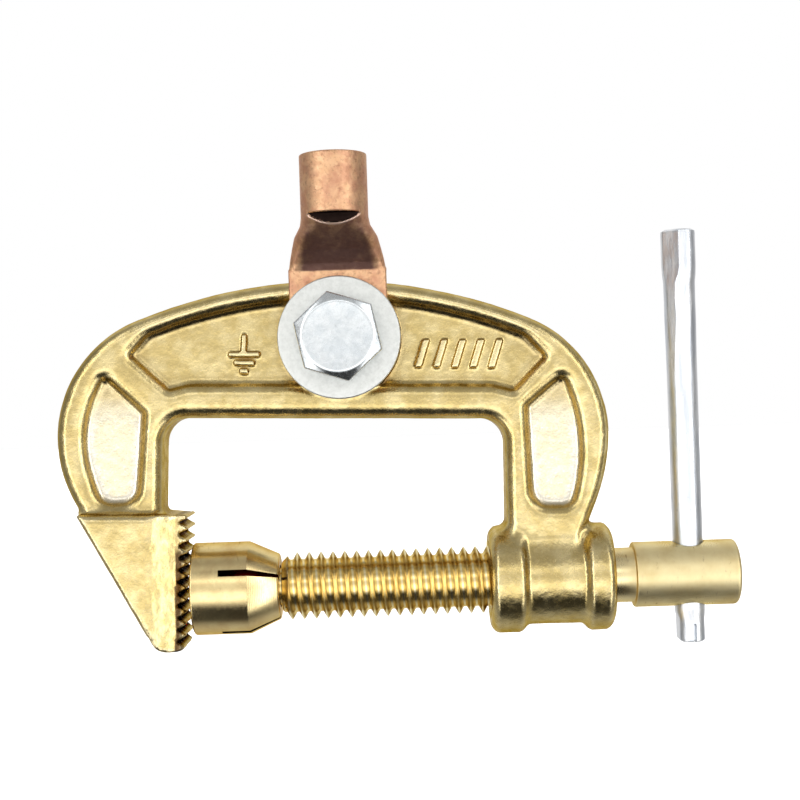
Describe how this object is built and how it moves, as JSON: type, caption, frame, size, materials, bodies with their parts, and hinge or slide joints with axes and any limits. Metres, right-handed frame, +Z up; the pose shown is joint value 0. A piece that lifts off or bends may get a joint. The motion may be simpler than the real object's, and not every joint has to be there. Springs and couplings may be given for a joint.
{
  "type": "ground clamp",
  "caption": "Cast brass C-frame welding ground clamp with a toothed jaw, a screw with a swivel pad and a sliding tommy bar, and a copper cable lug bolted to the crown.",
  "frame": {"origin": "where the screw axis meets the tips of the fixed jaw's teeth, which is where the clamp holds its work", "axes": "+X along the screw axis from the fixed jaw to the screw's head, +Z up towards the crown and the lug, -Y the front of the frame"},
  "size_m": [0.1407, 0.0424, 0.1022],
  "materials": {
    "cast_brass": "sand-cast brass, tumbled, bright on the high edges and dark in the corners",
    "turned_brass": "turned brass with fine lathe marks",
    "pad_brass": "turned brass, satin",
    "zinc_bar": "zinc-plated steel rod with staked ends",
    "copper": "annealed copper, mottled and darkened on the slope of the palm",
    "zinc_bolt": "bright zinc plate",
    "zinc_washer": "zinc plate, fine matt",
    "spring_steel": "plated spring steel"
  },
  "bodies": {
    "frame": {"frame": "cast_brass", "cable_lug": "copper", "lug_bolt": "zinc_bolt", "front_washer": "zinc_washer", "rear_washer": "zinc_washer", "spring_washer": "spring_steel", "lug_nut": "zinc_bolt"},
    "pad": {"swivel_pad": "pad_brass"},
    "screw": {"clamp_screw": "turned_brass"},
    "bar": {"tommy_bar": "zinc_bar"}
  },
  "joints": [
    {"name": "pad_travel", "type": "slide", "parent": "frame", "child": "pad", "axis": [1, 0, 0], "range_m": [0, 0.0435]},
    {"name": "screw_turn", "type": "hinge", "parent": "pad", "child": "screw", "pos_m": [0, 0, 0], "axis": [1, 0, 0], "range_deg": [0, 6265]},
    {"name": "bar_slide", "type": "slide", "parent": "screw", "child": "bar", "axis": [0, 0, 1], "range_m": [-0.054, 0]}
  ],
  "couplings": [
    {"joint": "screw_turn", "follows": "pad_travel", "rad_per_m": 2513.3}
  ]
}
